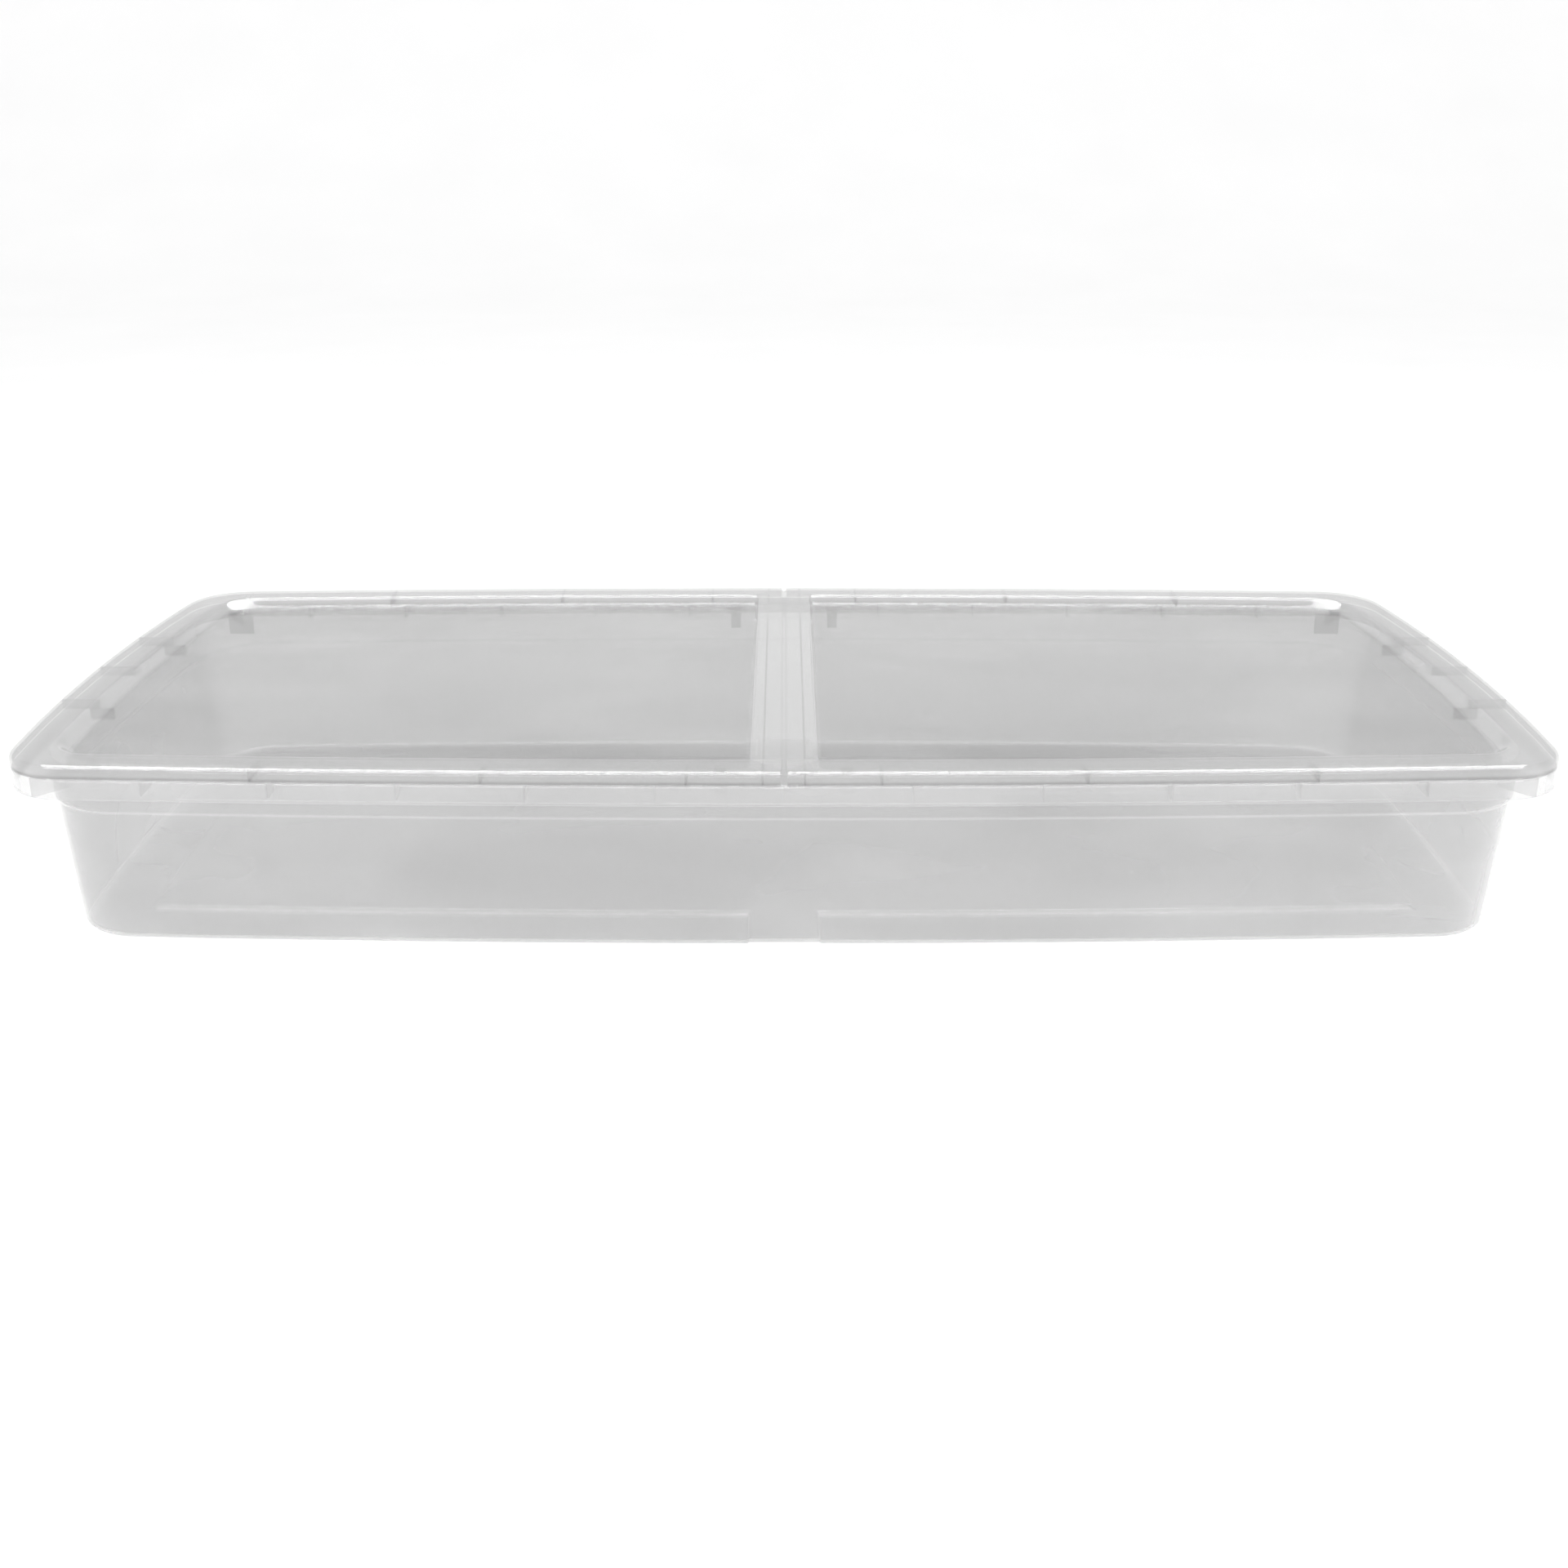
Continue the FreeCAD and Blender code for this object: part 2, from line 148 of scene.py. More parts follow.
# Steps along each stretch of a ring
END_STEPS = 26
CORNER_STEPS = 16
LONG_STEPS = 40
TIGHT_STEPS = 10
STRAIGHT_STEPS = 24
ROUND_STEPS = 6
WEB_STEPS = 40
CHANNEL_PLACES = (18.0, 21.0, 22.0, 23.0, 24.0, 25.0, 26.0, 29.0)


def bow_radius(half_chord, bow):
    return (half_chord ** 2 + bow ** 2) / (2 * bow)


def smooth(share):
    share = min(max(share, 0.0), 1.0)
    return share * share * (3 - 2 * share)


def span(start, end, steps):
    """Evenly spaced values from start up to, but not including, end."""
    return [start + (end - start) * step / steps for step in range(steps)]


def arc_points(x, y, radius, angles):
    return [(x + radius * math.cos(angle), y + radius * math.sin(angle)) for angle in angles]


class Plan:
    """A rectangle with bowed sides and round corners: eight arcs, each tangent to the next."""

    def __init__(self, half_length, half_width, long_bow, short_bow, corner_radius):
        self.long_radius = bow_radius(half_length, long_bow)
        self.short_radius = bow_radius(half_width, short_bow)
        self.long_centre = half_width - self.long_radius
        self.short_centre = half_length - self.short_radius
        self.corner_radius = corner_radius
        self.corner_x, self.corner_y = self.corner_centre(0.0, 0.0, corner_radius)
        self.long_start = math.atan2(self.corner_y - self.long_centre, self.corner_x)
        self.short_end = math.atan2(self.corner_y, self.corner_x - self.short_centre)

    def corner_centre(self, long_inset, end_inset, radius):
        """Centre of a corner arc that is tangent to a long side and to an end, both inset."""
        reach_long = self.long_radius - long_inset - radius
        reach_short = self.short_radius - end_inset - radius
        apart = math.hypot(self.short_centre, self.long_centre)
        along = (reach_long ** 2 - reach_short ** 2 + apart ** 2) / (2 * apart)
        across = math.sqrt(reach_long ** 2 - along ** 2)
        unit_x = self.short_centre / apart
        unit_y = -self.long_centre / apart
        x = along * unit_x + across * unit_y
        y = self.long_centre + along * unit_y - across * unit_x
        return x, y

    def long_angles(self):
        """Angles along a long side, with closer steps where the floor channel crosses."""
        steps = range(-LONG_STEPS // 2 + 1, LONG_STEPS // 2)
        places = [self.corner_x * step * 2 / LONG_STEPS for step in steps]
        places = [place for place in places if abs(place) > CHANNEL_PLACES[-1]]
        places += list(CHANNEL_PLACES) + [-place for place in CHANNEL_PLACES] + [0.0]
        angles = [math.acos(place / self.long_radius) for place in sorted(places, reverse=True)]
        return [self.long_start] + angles

    def ring(self, inset):
        """Outline at one distance inside the plan, anticlockwise from the start of the +X end."""
        a = self.short_end
        b = self.long_start
        half = math.pi
        end = span(-a, a, END_STEPS)
        corner = span(a, b, CORNER_STEPS)
        corner_back = span(half - b, half - a, CORNER_STEPS)
        long_side = self.long_angles()
        points = []
        for turn in (0.0, half):
            side = 1 if turn == 0.0 else -1
            reach = self.short_radius - inset
            points += arc_points(side * self.short_centre, 0.0, reach, [turn + angle for angle in end])
            reach = self.corner_radius - inset
            x = side * self.corner_x
            y = side * self.corner_y
            points += arc_points(x, y, reach, [turn + angle for angle in corner])
            reach = self.long_radius - inset
            points += arc_points(0.0, side * self.long_centre, reach, [turn + angle for angle in long_side])
            reach = self.corner_radius - inset
            points += arc_points(-x, y, reach, [turn + angle for angle in corner_back])
        return points

    def side_y(self, x, inset):
        return self.long_centre + math.sqrt((self.long_radius - inset) ** 2 - x ** 2)

    def end_x(self, y, inset):
        return self.short_centre + math.sqrt((self.short_radius - inset) ** 2 - y ** 2)


RIM = Plan(HALF_LENGTH, HALF_WIDTH, RIM_LONG_BOW, RIM_SHORT_BOW, RIM_CORNER)
BOX = Plan(HALF_LENGTH - END_OVERHANG, HALF_WIDTH - SIDE_OVERHANG, WALL_LONG_BOW, WALL_SHORT_BOW, WALL_CORNER)


class Shell:
    """Points and faces of one piece, in millimetres."""

    def __init__(self):
        self.points = []
        self.faces = []

    def add(self, points):
        start = len(self.points)
        self.points += points
        return list(range(start, len(self.points)))

    def join(self, first, second, closed=True):
        """Band of faces between two rows of the same length."""
        count = len(first)
        for step in range(count if closed else count - 1):
            after = (step + 1) % count
            self.faces.append((first[step], first[after], second[after], second[step]))

    def skin(self, rows):
        """Bands between one closed row and the next, with a face over the first and the last."""
        for first, second in zip(rows, rows[1:]):
            self.join(first, second)
        self.faces.append(tuple(rows[0]))
        self.faces.append(tuple(reversed(rows[-1])))

    def block(self, corner, opposite, bevel=0.25, turn=None):
        """Box with narrow bevels along all its edges, which may be turned about the origin first."""
        work = bmesh.new()
        middle = (Vector(corner) + Vector(opposite)) / 2
        size = Vector(opposite) - Vector(corner)
        bmesh.ops.create_cube(work, size=1.0, matrix=Matrix.Diagonal((*[abs(v) for v in size], 1)))
        bmesh.ops.bevel(work, geom=work.edges[:], offset=bevel, segments=2, affect="EDGES", profile=0.5)
        place = Matrix.Translation(middle)
        if turn is not None:
            place = turn @ place
        work.verts.index_update()
        points = [tuple(place @ vert.co) for vert in work.verts]
        indices = self.add(points)
        self.faces += [tuple(indices[vert.index] for vert in face.verts) for face in work.faces]
        work.free()

    def mirrored(self):
        other = Shell()
        other.points = [(-x, y, z) for x, y, z in self.points]
        other.faces = [tuple(reversed(face)) for face in self.faces]
        return other

    def make(self, name, material, body, slot):
        mesh = bpy.data.meshes.new(name)
        mesh.from_pydata([(x * MM, y * MM, z * MM) for x, y, z in self.points], [], self.faces)
        work = bmesh.new()
        work.from_mesh(mesh)
        bmesh.ops.remove_doubles(work, verts=work.verts[:], dist=1e-6)
        bmesh.ops.dissolve_degenerate(work, edges=work.edges[:], dist=1e-6)
        bmesh.ops.recalc_face_normals(work, faces=work.faces[:])
        work.to_mesh(mesh)
        work.free()
        for polygon in mesh.polygons:
            polygon.use_smooth = True
        mesh.set_sharp_from_angle(angle=math.radians(38))
        mesh.materials.append(material)
        piece = bpy.data.objects.new(name, mesh)
        bpy.context.scene.collection.objects.link(piece)
        if body is not None:
            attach(piece, body)
        return piece


def round_steps(centre, height, radius, start, end):
    """Points of a rounding in a ring's section. At 0 degrees it points outward, at 90 up."""
    steps = []
    for step in range(ROUND_STEPS + 1):
        angle = math.radians(start + (end - start) * step / ROUND_STEPS)
        steps.append((centre - radius * math.cos(angle), height + radius * math.sin(angle)))
    return steps


# ---------------------------------------------------------------- tray

LEDGE_FOOT = UPPER_DRAFT + LEDGE_STEP
FOOT = LEDGE_FOOT + LOWER_DRAFT
TURN = FOOT + BASE_RADIUS
PANEL_START = TURN + FOOT_WIDTH


def floor_lift(x, inset):
    """How far the floor stands above the foot."""
    from_foot = smooth((inset - PANEL_START) / FLOOR_STEP_RUN)
    from_channel = smooth((CHANNEL_WIDTH / 2 - abs(x)) / FLOOR_STEP_RUN)
    return FLOOR_RISE * max(from_foot, from_channel)


def tray_section():
    """Section of the tray from the underside of the floor round the rim to its upper side."""
    floor_insets = [PANEL_START + FLOOR_STEP_RUN * step / 6 for step in range(6, -1, -1)]
    floor_insets += [PANEL_START - 3, PANEL_START - 15, TURN + 8]
    inner_radius = BASE_RADIUS - WALL
    under = FLANGE_TOP - WALL
    face = BAND_SETBACK
    back = face + WALL
    bead_top = BAND_BOTTOM + BEAD_HEIGHT
    edge = FLANGE_TOP - FLANGE_EDGE_RADIUS

    ledge_low = LEDGE_HEIGHT - LEDGE_STEP
    low_on_wall, high_on_wall = LOWER_WALL_HEIGHTS
    below = [(BOX, inset, 0.0) for inset in floor_insets]
    below += [(BOX, inset, z) for inset, z in round_steps(TURN, BASE_RADIUS, BASE_RADIUS, -90, 0)]
    below += [(BOX, FOOT - 2.0, low_on_wall), (BOX, LEDGE_FOOT + 2.0, high_on_wall)]
    below += [(BOX, LEDGE_FOOT, ledge_low - 1.2), (BOX, LEDGE_FOOT - 0.1, ledge_low - 0.4)]
    below += [(BOX, LEDGE_FOOT - 0.5, ledge_low + 0.3), (BOX, UPPER_DRAFT + 0.4, LEDGE_HEIGHT - 0.3)]
    below += [(BOX, UPPER_DRAFT + 0.05, LEDGE_HEIGHT + 0.4), (BOX, UPPER_DRAFT - 0.05, LEDGE_HEIGHT + 1.4)]
    below += [(BOX, 0.1, under - 1.5), (BOX, -0.2, under - 0.5), (BOX, -1.2, under)]

    flange_round = round_steps(face + FLANGE_EDGE_RADIUS, edge, FLANGE_EDGE_RADIUS, 0, 90)
    rim = [(RIM, back + 1.2, under), (RIM, back + 0.3, under - 0.4), (RIM, back, under - 1.4)]
    rim += [(RIM, back, BAND_BOTTOM + 0.5), (RIM, back - 0.4, BAND_BOTTOM), (RIM, face + 0.2, BAND_BOTTOM)]
    rim += [(RIM, 0.1, BAND_BOTTOM + 0.3), (RIM, 0.0, BAND_BOTTOM + 0.8), (RIM, 0.0, bead_top - 0.8)]
    rim += [(RIM, 0.12, bead_top - 0.25), (RIM, face - 0.1, bead_top), (RIM, face, bead_top + 0.4)]
    rim += [(RIM, face, BAND_MIDDLE)]
    rim += [(RIM, inset, z) for inset, z in flange_round]

    upper = UPPER_DRAFT + WALL
    lower = LEDGE_FOOT + WALL
    inside = [(BOX, WALL - 1.6, FLANGE_TOP), (BOX, WALL - 0.5, FLANGE_TOP - 0.4)]
    inside += [(BOX, WALL, FLANGE_TOP - 1.6)]
    inside += [(BOX, upper - 0.05, LEDGE_HEIGHT + 2.2), (BOX, upper + 0.1, LEDGE_HEIGHT + 1.1)]
    inside += [(BOX, upper + 0.5, LEDGE_HEIGHT + 0.4), (BOX, lower - 0.3, LEDGE_HEIGHT - 0.5)]
    inside += [(BOX, lower, LEDGE_HEIGHT - 1.5)]
    inside += [(BOX, lower + 2.0, high_on_wall), (BOX, FOOT + WALL - 2.0, low_on_wall)]
    inside += [(BOX, inset, z) for inset, z in round_steps(TURN, BASE_RADIUS, inner_radius, 0, -90)]
    inside += [(BOX, inset, WALL) for inset in reversed(floor_insets)]
    return below, rim, inside


def tray_points(plan, inset, z, thickness):
    """Ring of the tray. The lift of the floor and the channel raises what lies low."""
    points = []
    for x, y in plan.ring(inset):
        lift = floor_lift(x, inset) + thickness if plan is BOX else 0.0
        points.append((x, y, max(z, lift) if z < BASE_RADIUS else z))
    return points


def floor_middle(z):
    """Rows of the flat middle of the floor, from its centre outwards."""
    edge = BOX.ring(PANEL_START + FLOOR_STEP_RUN)
    return [[(x * share, y * share, z) for x, y in edge] for share in (0.3, 0.6, 0.85, 0.97)]


def make_tray():
    shell = Shell()
    below, rim, inside = tray_section()
    rows = [shell.add(row) for row in floor_middle(FLOOR_RISE)]
    rows += [shell.add(tray_points(*step, 0.0)) for step in below + rim]
    rows += [shell.add(tray_points(*step, WALL)) for step in inside]
    rows += [shell.add(row) for row in reversed(floor_middle(FLOOR_RISE + WALL))]
    shell.skin(rows)
    add_tray_ribs(shell)
    return shell


def add_tray_ribs(shell):
    low = BAND_BOTTOM + BEAD_HEIGHT
    high = FLANGE_TOP - RIB_END_IN_RIM
    band_inset = BAND_SETBACK + RIB_END_IN_RIM
    for step in range(-BAND_RIBS_EACH_WAY, BAND_RIBS_EACH_WAY + 1):
        x = step * BAND_RIB_PITCH
        outer = RIM.side_y(x, band_inset)
        inner = BOX.side_y(x, RIB_END_IN_WALL)
        for side in (-1, 1):
            shell.block((x - RIB / 2, side * inner, low), (x + RIB / 2, side * outer, high))
    for y in END_RIB_PLACES:
        outer = RIM.end_x(y, band_inset)
        inner = BOX.end_x(y, RIB_END_IN_WALL)
        for side in (-1, 1):
            shell.block((side * inner, y - RIB / 2, low), (side * outer, y + RIB / 2, high))
    add_corner_ribs(shell, band_inset, high)


def add_corner_ribs(shell, band_inset, high):
    angle = math.radians(CORNER_RIB_ANGLE)
    outer = RIM_CORNER - band_inset
    start = Vector((RIM.corner_x + outer * math.cos(angle), RIM.corner_y + outer * math.sin(angle), 0))
    reach = WALL_CORNER - RIB_END_IN_WALL
    end = Vector((BOX.corner_x + reach * math.cos(angle), BOX.corner_y + reach * math.sin(angle), 0))
    for across in (-1, 1):
        for along in (-1, 1):
            here = Vector((end.x * along, end.y * across, 0))
            run = Vector((start.x * along, start.y * across, 0)) - here
            turn = Matrix.Translation(here) @ Matrix.Rotation(math.atan2(run.y, run.x), 4, "Z")
            corner = (0.0, -RIB / 2, BAND_BOTTOM - CORNER_RIB_DROP)
            shell.block(corner, (run.length, RIB / 2, high), turn=turn)


# ---------------------------------------------------------------- lid

def half_rim(inset):
    """Rim of the right half of the lid, from the front notch round the end to the rear notch."""
    a = RIM.short_end
    b = RIM.long_start
    start = math.acos(NOTCH_HALF_WIDTH / (RIM.long_radius - inset))
    reach = RIM.corner_radius - inset
    points = arc_points(0.0, -RIM.long_centre, RIM.long_radius - inset, span(-start, -b, LONG_STEPS))
    points += arc_points(RIM.corner_x, -RIM.corner_y, reach, span(-b, -a, CORNER_STEPS))
    points += arc_points(RIM.short_centre, 0.0, RIM.short_radius - inset, span(-a, a, END_STEPS))
    points += arc_points(RIM.corner_x, RIM.corner_y, reach, span(a, b, CORNER_STEPS))
    points += arc_points(0.0, RIM.long_centre, RIM.long_radius - inset, span(b, start, LONG_STEPS) + [start])
    return points


def hinge_side():
    """Hinge edge of the right half, from the rear notch to the front notch, without its ends."""
    tight = [(NOTCH_HALF_WIDTH, NOTCH_SHOULDER), (HINGE_EDGE, NOTCH_SIDE)]
    tight += [(HINGE_EDGE, STRIP_END + STRIP_POINT_GAP), (HINGE_EDGE, STRIP_END - STRIP_POINT_GAP)]
    straight_end = RIM.side_y(STRIP_WIDTH / 2, PANEL_INSET) - PANEL_TIGHT_CORNER
    rest = TIGHT_STEPS - 1 - len(tight)
    tight += [(HINGE_EDGE, y) for y in span(STRIP_END - 2 * STRIP_POINT_GAP, straight_end, rest)]
    straight = [(HINGE_EDGE, y) for y in span(straight_end, -straight_end, STRAIGHT_STEPS)]
    front = [(x, -y) for x, y in reversed(tight)]
    return tight + straight + [(HINGE_EDGE, -straight_end)] + front


def panel_outline(share):
    """Outline of the sunken panel, from its rim at 0 to its foot at 1, in step with the rim."""
    long_inset = PANEL_INSET + share * PANEL_SIDE_RUN
    end_inset = PANEL_INSET + share * PANEL_END_RUN
    near = STRIP_WIDTH / 2 + share * PANEL_STRIP_RUN
    corner = PANEL_CORNER - share * PANEL_SIDE_RUN
    tight = PANEL_TIGHT_CORNER - share * PANEL_STRIP_RUN
    long_radius = RIM.long_radius - long_inset
    end_radius = RIM.short_radius - end_inset
    far_x, far_y = RIM.corner_centre(long_inset, end_inset, corner)
    near_x = near + tight
    near_y = RIM.long_centre + math.sqrt((long_radius - tight) ** 2 - near_x ** 2)
    a = math.atan2(far_y, far_x - RIM.short_centre)
    b = math.atan2(far_y - RIM.long_centre, far_x)
    c = math.atan2(near_y - RIM.long_centre, near_x)
    points = arc_points(0.0, -RIM.long_centre, long_radius, span(-c, -b, LONG_STEPS))
    points += arc_points(far_x, -far_y, corner, span(-b, -a, CORNER_STEPS))
    points += arc_points(RIM.short_centre, 0.0, end_radius, span(-a, a, END_STEPS))
    points += arc_points(far_x, far_y, corner, span(a, b, CORNER_STEPS))
    points += arc_points(0.0, RIM.long_centre, long_radius, span(b, c, LONG_STEPS))
    tight_angles = [c + (math.pi - c) * part for part in (0.0, 0.12, 0.24, 0.36, 0.42)]
    tight_angles += [c + (math.pi - c) * part for part in (0.52, 0.62, 0.72, 0.82, 0.92)]
    points += arc_points(near_x, near_y, tight, tight_angles)
    points += [(near, y) for y in span(near_y, -near_y, STRAIGHT_STEPS)]
    points += [(near, -near_y)]
    points += arc_points(near_x, -near_y, tight, [-angle for angle in reversed(tight_angles[1:])])
    return points


def between(first, second, share):
    return [(x + (u - x) * share, y + (v - y) * share) for (x, y), (u, v) in zip(first, second)]


def strip_drops(count, rim_count):
    """How much lower each place along the closed outline lies, for the strip beside the hinge."""
    drops = [0.0] * count
    for step in range(rim_count + 3, count - 3):
        drops[step] = STRIP_DROP
    return drops


def panel_wall(mouth, foot, drops, share):
    """Outer and inner points of the panel's wall, an even S from the lid's top to the panel."""
    slope_share = 6 * share * (1 - share)
    outer = []
    inner = []
    for (x, y), (u, v), drop in zip(mouth, foot, drops):
        run = math.hypot(u - x, v - y)
        depth = PANEL_DEPTH - drop
        slope = depth * slope_share / run
        length = math.hypot(slope, 1.0)
        here_x = x + (u - x) * share
        here_y = y + (v - y) * share
        here_z = HEIGHT - drop - depth * smooth(share)
        thickness = WALL - drop * (1 - share)
        outer.append((here_x, here_y, here_z))
        sideways = thickness * slope / length / run
        inner.append((here_x - sideways * (u - x), here_y - sideways * (v - y), here_z - thickness / length))
    return outer, inner


def make_lid_half():
    """Right half of the lid: an upper and an under skin of the same rows, joined at their edge."""
    skirt_bottom = FLANGE_TOP + SEAT_GAP
    edge = HEIGHT - LID_EDGE_RADIUS
    shell = Shell()
    skirt_heights = (skirt_bottom, skirt_bottom + 1.5, edge)
    upper_round = round_steps(LID_EDGE_RADIUS, edge, LID_EDGE_RADIUS, 0, 90)[1:-1]
    under_round = round_steps(LID_EDGE_RADIUS, edge, LID_EDGE_RADIUS - WALL, 0, 90)[1:-1]
    upper = [[(x, y, z) for x, y in half_rim(0.0)] for z in skirt_heights]
    upper += [[(x, y, z) for x, y in half_rim(inset)] for inset, z in upper_round]
    under = [[(x, y, z) for x, y in half_rim(WALL)] for z in skirt_heights]
    under += [[(x, y, z) for x, y in half_rim(inset)] for inset, z in under_round]
    open_rows = len(upper)

    rim_line = half_rim(LID_EDGE_RADIUS)
    outline = rim_line + hinge_side()
    mouth = panel_outline(0.0)
    foot = panel_outline(1.0)
    drops = strip_drops(len(outline), len(rim_line) - 1)
    for share in (0.0, 0.3, 0.65, 0.9):
        flat = between(outline, mouth, share)
        upper.append([(x, y, HEIGHT - drop) for (x, y), drop in zip(flat, drops)])
        under.append([(x, y, HEIGHT - WALL) for x, y in flat])
    for step in range(2 * ROUND_STEPS + 1):
        outer, inner = panel_wall(mouth, foot, drops, step / (2 * ROUND_STEPS))
        upper.append(outer)
        under.append(inner)
    middle = (HALF_LENGTH / 2, 0.0)
    for share in (0.03, 0.12, 0.3, 0.5, 0.7, 0.85):
        flat = between(foot, [middle] * len(foot), share)
        z = HEIGHT - PANEL_DEPTH - PANEL_SAG * smooth(share)
        upper.append([(x, y, z) for x, y in flat])
        under.append([(x, y, z - WALL) for x, y in flat])

    upper_rows = [shell.add(row) for row in upper]
    under_rows = [shell.add(row) for row in under]
    for rows in (upper_rows, under_rows):
        for index in range(len(rows) - 1):
            closed = index >= open_rows
            second = rows[index + 1] if closed else rows[index + 1][:len(rows[index])]
            shell.join(rows[index], second, closed)
        shell.faces.append(tuple(rows[-1]))
    close_edge(shell, upper_rows, under_rows, open_rows)
    add_lid_ribs(shell)
    add_lid_lugs(shell)
    return shell


def close_edge(shell, upper_rows, under_rows, open_rows):
    """Narrow faces between the two skins along the skirt, the notches and the hinge edge."""

    def boundary(rows):
        last = len(rows[0]) - 1
        skirt = rows[0]
        rear = [rows[index][last] for index in range(1, open_rows)]
        hinge = rows[open_rows][last:]
        front = [rows[index][0] for index in range(open_rows, 0, -1)]
        return skirt + rear + hinge + front

    shell.join(boundary(upper_rows), boundary(under_rows))


def add_lid_ribs(shell):
    low = FLANGE_TOP + SEAT_GAP
    high = HEIGHT - RIB_END_IN_RIM
    for x in LID_RIB_PLACES:
        outer = RIM.side_y(x, RIB_END_IN_RIM)
        inner = RIM.side_y(x, PANEL_INSET + 1.0)
        for side in (-1, 1):
            shell.block((x - RIB / 2, side * inner, low), (x + RIB / 2, side * outer, high))
    for y in LID_END_RIB_PLACES:
        outer = RIM.end_x(y, RIB_END_IN_RIM)
        inner = RIM.end_x(y, PANEL_INSET + 2.0)
        shell.block((inner, y - RIB / 2, low), (outer, y + RIB / 2, high))
    reach = RIM.side_y(STRIP_RIB_PLACE, RIB_END_IN_RIM)
    near = STRIP_RIB_PLACE - RIB / 2
    far = STRIP_RIB_PLACE + RIB / 2
    shell.block((near, -reach, low), (far, reach, high))


def add_lid_lugs(shell):
    panel_under = HEIGHT - PANEL_DEPTH - LUG_END_IN_PANEL
    half = LUG_THICKNESS / 2
    for side in (-1, 1):
        for (near, far), place in ((CORNER_LUG_SPAN, CORNER_LUG_PLACE), (MIDDLE_LUG_SPAN, MIDDLE_LUG_PLACE)):
            y = side * place
            shell.block((near, y - half, LUG_BOTTOM), (far, y + half, panel_under), bevel=0.5)
    for y in END_LUG_PLACES:
        near, far = END_LUG_SPAN
        shell.block((near, y - half, END_LUG_BOTTOM), (far, y + half, panel_under + 0.6), bevel=0.5)


# ---------------------------------------------------------------- living hinge

def hinge_web():
    """Thin web that carries the bend, slightly hollow along its middle."""
    shell = Shell()
    half = WEB_HIGH.x
    top = WEB_HIGH.z
    bottom = WEB_LOW.z
    hollow = half * 0.4
    dip = 0.12
    section = [(-half, bottom), (half, bottom), (half, top)]
    section += [(hollow, top - dip), (-hollow, top - dip), (-half, top)]
    rows = []
    for y in span(WEB_LOW.y, WEB_HIGH.y, WEB_STEPS) + [WEB_HIGH.y]:
        rows.append(shell.add([(x, y, z) for x, z in section]))
    shell.skin(rows)
    return shell


def hinge_link():
    """Thin skin between the web and the edge of the right half."""
    shell = Shell()
    start = WEB_HIGH.x - 0.1
    end = HINGE_EDGE + 0.1
    steps = 8
    rows = []
    for y in span(WEB_LOW.y, WEB_HIGH.y, WEB_STEPS) + [WEB_HIGH.y]:
        upper = []
        under = []
        for step in range(steps + 1):
            share = step / steps
            x = start + (end - start) * share
            upper.append((x, y, WEB_HIGH.z - 0.05 + 0.05 * share))
            under.append((x, y, WEB_LOW.z + 0.05 - 0.35 * smooth(share)))
        rows.append(shell.add(upper + list(reversed(under))))
    shell.skin(rows)
    return shell


# ---------------------------------------------------------------- materials

class Nodes:
    """Small helper that adds nodes to a material and links them."""

    def __init__(self, name):
        self.material = bpy.data.materials.new(name)
        self.material.use_nodes = True
        self.tree = self.material.node_tree
        self.shader = self.tree.nodes["Principled BSDF"]
        self.output = self.tree.nodes["Material Output"]
        self.place = self.add("ShaderNodeTexCoord").outputs["Object"]

    def add(self, kind, **settings):
        node = self.tree.nodes.new(kind)
        for key, value in settings.items():
            setattr(node, key, value)
        return node

    def link(self, source, target):
        self.tree.links.new(source, target)

    def noise(self, scale, detail=2.0, rough=0.5, stretch=(1.0, 1.0, 1.0), distortion=0.0):
        """Noise in metres of the object, which may be stretched along an axis."""
        mapping = self.add("ShaderNodeMapping")
        mapping.inputs["Scale"].default_value = stretch
        self.link(self.place, mapping.inputs["Vector"])
        node = self.add("ShaderNodeTexNoise")
        node.inputs["Scale"].default_value = scale
        node.inputs["Detail"].default_value = detail
        node.inputs["Roughness"].default_value = rough
        node.inputs["Distortion"].default_value = distortion
        self.link(mapping.outputs["Vector"], node.inputs["Vector"])
        return node.outputs["Fac"]

    def heights(self, levels):
        """Value that follows the height in the box. levels holds pairs of height and value."""
        split = self.add("ShaderNodeSeparateXYZ")
        self.link(self.place, split.inputs["Vector"])
        ramp = self.add("ShaderNodeValToRGB")
        stops = ramp.color_ramp.elements
        while len(stops) < len(levels):
            stops.new(1.0)
        for stop, (height, value) in zip(stops, levels):
            stop.position = height / HEIGHT
            stop.color = (value, value, value, 1)
        self.link(self.maths("DIVIDE", split.outputs["Z"], HEIGHT * MM), ramp.inputs["Fac"])
        return ramp.outputs["Color"]

    def mixed(self, share, first, second):
        mix = self.add("ShaderNodeMixShader")
        self.link(share, mix.inputs["Fac"])
        self.link(first.outputs[0], mix.inputs[1])
        self.link(second.outputs[0], mix.inputs[2])
        return mix

    def remap(self, source, low, high, to_low, to_high):
        node = self.add("ShaderNodeMapRange", interpolation_type="SMOOTHSTEP")
        for socket, value in (("From Min", low), ("From Max", high), ("To Min", to_low), ("To Max", to_high)):
            node.inputs[socket].default_value = value
        self.link(source, node.inputs["Value"])
        return node.outputs["Result"]

    def maths(self, operation, first, second):
        node = self.add("ShaderNodeMath", operation=operation)
        for index, value in enumerate((first, second)):
            if isinstance(value, (int, float)):
                node.inputs[index].default_value = value
            else:
                self.link(value, node.inputs[index])
        return node.outputs["Value"]


